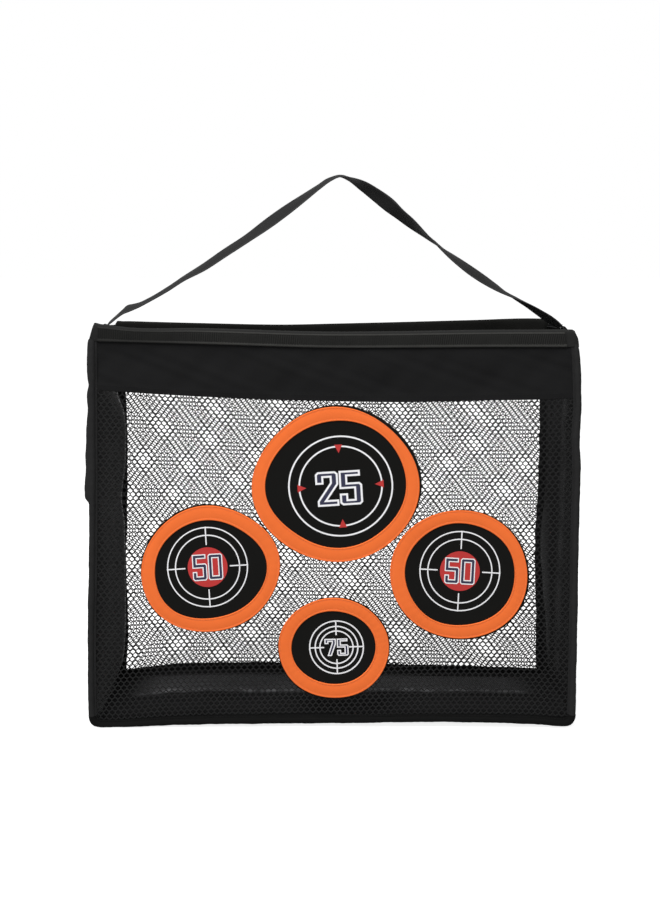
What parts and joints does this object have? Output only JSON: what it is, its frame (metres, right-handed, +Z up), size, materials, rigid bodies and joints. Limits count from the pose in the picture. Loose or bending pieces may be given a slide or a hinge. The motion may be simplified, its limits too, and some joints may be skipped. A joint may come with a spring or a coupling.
{
  "type": "golf chipping net",
  "caption": "Free-standing box-shaped golf chipping net on spring wire hoops, open at the top, with numbered round targets on the front mesh and a webbing carry strap.",
  "frame": {"origin": "on the ground under the middle of the net, midway between the front and back panels", "axes": "+X to the right as seen from the front, +Y from the front panel to the back panel, +Z up"},
  "size_m": [0.61, 0.16, 0.6985],
  "materials": {
    "black_mesh": "open hexagonal knitted mesh",
    "black_fabric": "smooth coated weave",
    "ribbed_binding": "crosswise ribbed tape",
    "sleeve_fabric": "plain woven tape",
    "spring_steel": "drawn wire",
    "ferrule_metal": "crimped",
    "target_disc": "black woven fabric with screen-printed rings and numbers",
    "orange_ring": "bright woven fabric with stitched edges",
    "strap_webbing": "flat woven webbing",
    "rivet_metal": "nickel plated"
  },
  "bodies": {
    "front_panel": {"front_net": "black_mesh", "front_header": "black_fabric", "front_top_binding": "ribbed_binding", "front_left_sleeve": "sleeve_fabric", "front_right_sleeve": "sleeve_fabric", "front_bottom_sleeve": "sleeve_fabric", "front_wire_hoop": "spring_steel", "front_wire_ferrule": "ferrule_metal", "target_25_disc": "target_disc", "target_25_ring": "orange_ring", "target_50_left_disc": "target_disc", "target_50_left_ring": "orange_ring", "target_50_right_disc": "target_disc", "target_50_right_ring": "orange_ring", "target_75_disc": "target_disc", "target_75_ring": "orange_ring", "left_gusset": "black_fabric", "right_gusset": "black_fabric", "bottom_gusset": "black_fabric", "left_gusset_hem": "black_fabric", "right_gusset_hem": "black_fabric"},
    "back_panel": {"back_net": "black_mesh", "back_header": "black_fabric", "back_top_binding": "ribbed_binding", "back_left_sleeve": "sleeve_fabric", "back_right_sleeve": "sleeve_fabric", "back_bottom_sleeve": "sleeve_fabric", "back_left_hem": "black_fabric", "back_right_hem": "black_fabric", "back_bottom_hem": "black_fabric", "back_wire_hoop": "spring_steel", "back_wire_ferrule": "ferrule_metal"},
    "strap_anchor": {"left_strap_tab": "strap_webbing", "right_strap_tab": "strap_webbing", "left_strap_rivet": "rivet_metal", "right_strap_rivet": "rivet_metal", "left_strap_bend": "strap_webbing", "right_strap_bend": "strap_webbing"},
    "carry_strap": {"carry_strap": "strap_webbing"}
  },
  "joints": [
    {"name": "depth_fold", "type": "slide", "parent": "front_panel", "child": "back_panel", "axis": [0, -1, 0], "range_m": [0, 0.118], "deforming": ["left_gusset", "right_gusset", "bottom_gusset", "left_gusset_hem", "right_gusset_hem"]},
    {"name": "anchor_fold", "type": "slide", "parent": "front_panel", "child": "strap_anchor", "axis": [0, -1, 0], "range_m": [0, 0.059]},
    {"name": "strap_swing", "type": "hinge", "parent": "strap_anchor", "child": "carry_strap", "pos_m": [0, 0, 0.515], "axis": [1, 0, 0], "range_deg": [-80, 80], "deforming": ["left_strap_bend", "right_strap_bend"]}
  ],
  "couplings": [
    {"joint": "anchor_fold", "follows": "depth_fold", "ratio": 0.5}
  ]
}
